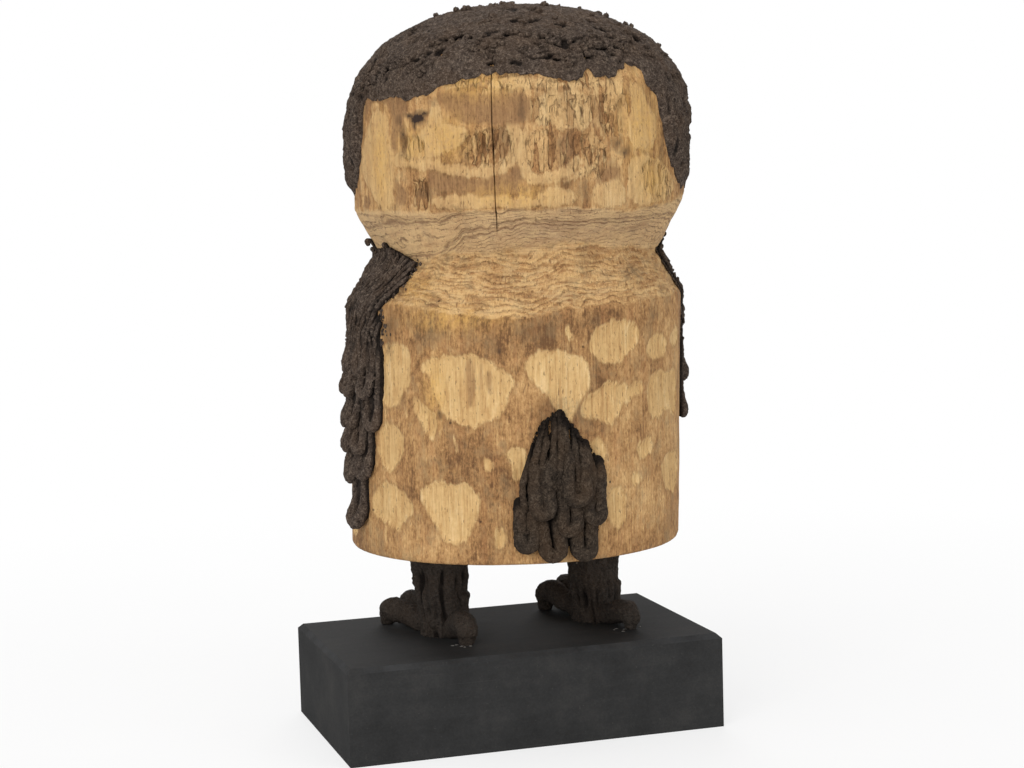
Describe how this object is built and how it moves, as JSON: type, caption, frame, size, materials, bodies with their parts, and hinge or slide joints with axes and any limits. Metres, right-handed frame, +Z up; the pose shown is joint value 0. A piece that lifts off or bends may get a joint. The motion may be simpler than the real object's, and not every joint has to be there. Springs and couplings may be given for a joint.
{
  "type": "carved owl figure on a plinth",
  "caption": "Carved owl figure: a round notched log with modelled dark paste plumage, wings and tail of hanging loops, clawed feet, on a flat rectangular plinth.",
  "frame": {"origin": "centre of the plinth's underside", "axes": "+Z up, the owl's face looks along -Y, the owl's left wing is on the +X side"},
  "size_m": [0.163, 0.1525, 0.302],
  "materials": {
    "painted_plinth": "matte black paint on wood",
    "fixings": "zinc plated",
    "peg_wood": "plain turned wood",
    "carved_wood": "weathered, with fresh gouge marks",
    "plumage_paste": "dry granular paste, matt",
    "eyes": "smoothed paste, slightly waxed",
    "beak": "smoothed paste, matt"
  },
  "bodies": {
    "root": {"plinth": "painted_plinth", "mounting_rods": "fixings", "rod_washers": "fixings", "rod_nuts": "fixings", "leg_peg_left": "peg_wood", "leg_peg_right": "peg_wood", "leg_left": "plumage_paste", "leg_right": "plumage_paste", "left_toe_outer": "plumage_paste", "left_toe_middle": "plumage_paste", "left_toe_inner": "plumage_paste", "left_toe_hind": "plumage_paste", "right_toe_inner": "plumage_paste", "right_toe_middle": "plumage_paste", "right_toe_outer": "plumage_paste", "right_toe_hind": "plumage_paste", "carved_log": "carved_wood", "head_cap": "plumage_paste", "left_wing_mantle": "plumage_paste", "left_wing_tier_1": "plumage_paste", "left_wing_tier_2": "plumage_paste", "left_wing_tier_3": "plumage_paste", "left_wing_tier_4": "plumage_paste", "left_wing_tier_5": "plumage_paste", "left_wing_tier_6": "plumage_paste", "right_wing_mantle": "plumage_paste", "right_wing_tier_1": "plumage_paste", "right_wing_tier_2": "plumage_paste", "right_wing_tier_3": "plumage_paste", "right_wing_tier_4": "plumage_paste", "right_wing_tier_5": "plumage_paste", "right_wing_tier_6": "plumage_paste", "tail_root": "plumage_paste", "tail_tier_upper": "plumage_paste", "tail_tier_middle": "plumage_paste", "tail_tier_lower": "plumage_paste", "eye_ring_left": "plumage_paste", "eye_ring_right": "plumage_paste", "eye_left": "eyes", "eye_right": "eyes", "beak": "beak"}
  },
  "joints": []
}
